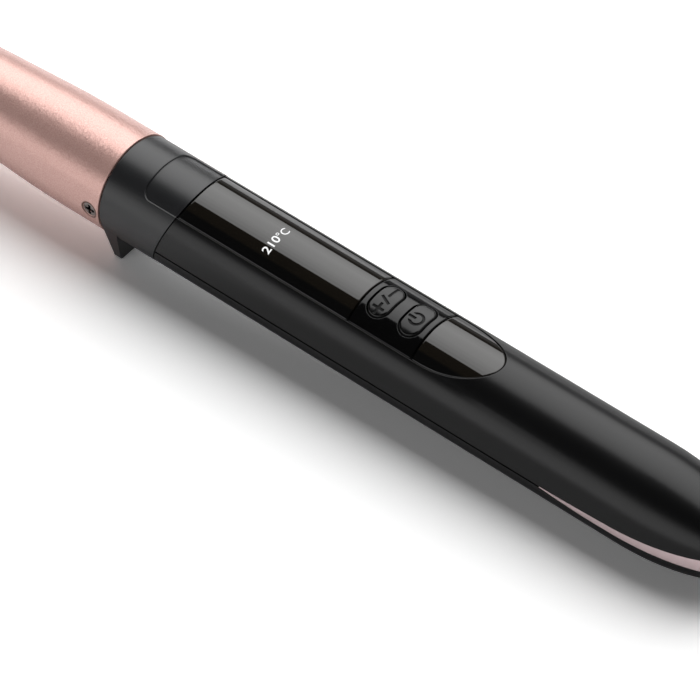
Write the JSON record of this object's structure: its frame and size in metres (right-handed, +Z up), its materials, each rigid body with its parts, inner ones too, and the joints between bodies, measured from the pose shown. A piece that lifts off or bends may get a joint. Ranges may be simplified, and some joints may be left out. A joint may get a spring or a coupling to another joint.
{
  "type": "curling wand",
  "caption": "Conical curling wand: rose-gold heated barrel, collar with rest foot, two-shell handle with glossy inlay, readout, rocker and power key, swivelling cord outlet.",
  "frame": {"origin": "centre of the bounding box on the table plane, with the wand resting on its foot and tail", "axes": "+X from the barrel's tip to the cord outlet, +Z up from the table through the readout, +Y to the wand's far side"},
  "size_m": [0.327, 0.025, 0.0302],
  "materials": {
    "rose_barrel": "satin rose-gold coating with a fine metallic grain",
    "rose_trim": "plated rose-gold, soft gloss",
    "charcoal": "fine satin heat-proof moulding",
    "black_satin": "soft-touch satin black",
    "black_gloss": "polished smoked black",
    "key_black": "semi-gloss black with engraved signs",
    "outlet_black": "satin black moulding",
    "seat_moulding": "glass-filled heat-proof moulding",
    "silicone": "moulded silicone",
    "bare_aluminium": "as extruded",
    "heater_ceramic": "unglazed fired ceramic",
    "mica": "pressed mica",
    "sensor_glass": "fired glass bead",
    "steel": "zinc-plated",
    "board_green": "solder-masked glass laminate",
    "component_black": "moulded epoxy",
    "display_grey": "dark display face",
    "capacitor_yellow": "moulded box",
    "connector_white": "moulded nylon",
    "brass_parts": "stamped and turned",
    "white_lead": "silicone insulation",
    "yellow_lead": "thin silicone insulation",
    "brown_lead": "silicone insulation"
  },
  "bodies": {
    "wand": {"barrel": "rose_barrel", "tip_washer": "silicone", "cool_tip": "charcoal", "upper_heat_spreader": "bare_aluminium", "lower_heat_spreader": "bare_aluminium", "heater_plate": "heater_ceramic", "mica_sheets": "mica", "thermistor": "sensor_glass", "thermal_fuse": "steel", "heat_shield": "mica", "barrel_seat": "seat_moulding", "barrel_screws": "steel", "collar": "charcoal", "upper_shell": "black_satin", "lower_shell": "black_satin", "shell_screws": "steel", "tail_trim": "rose_trim", "display_lens": "black_gloss", "button_plate": "black_gloss", "rear_inlay": "black_gloss", "rocker_domes": "silicone", "power_dome": "silicone", "control_board": "board_green", "board_screws": "steel", "display_module": "display_grey", "microcontroller": "component_black", "mains_capacitor": "capacitor_yellow", "triac": "component_black", "heater_terminals": "brass_parts", "supply_terminals": "brass_parts", "sensor_connector": "connector_white", "heater_leads": "white_lead", "sensor_leads": "yellow_lead", "supply_leads": "brown_lead", "brush_block": "seat_moulding", "brush_contacts": "brass_parts"},
    "rocker": {"temperature_rocker": "key_black"},
    "power_key": {"power_button": "key_black"},
    "cord_outlet": {"swivel_sleeve": "outlet_black", "slip_rings": "brass_parts"}
  },
  "joints": [
    {"name": "temperature_rock", "type": "hinge", "parent": "wand", "child": "rocker", "pos_m": [0.0638, 0, 0.02367], "axis": [0.9994, 0, -0.0339], "range_deg": [-5, 5], "stiffness_Nm_per_rad": 0.04, "deforming": ["rocker_domes"]},
    {"name": "power_press", "type": "slide", "parent": "wand", "child": "power_key", "axis": [-0.0339, 0, -0.9994], "range_m": [0, 0.0006], "stiffness_N_per_m": 800, "deforming": ["power_dome"]},
    {"name": "cord_swivel", "type": "hinge", "parent": "wand", "child": "cord_outlet", "pos_m": [0.15914, 0, 0.01143], "axis": [0.9994, 0, -0.0339], "continuous": true}
  ]
}
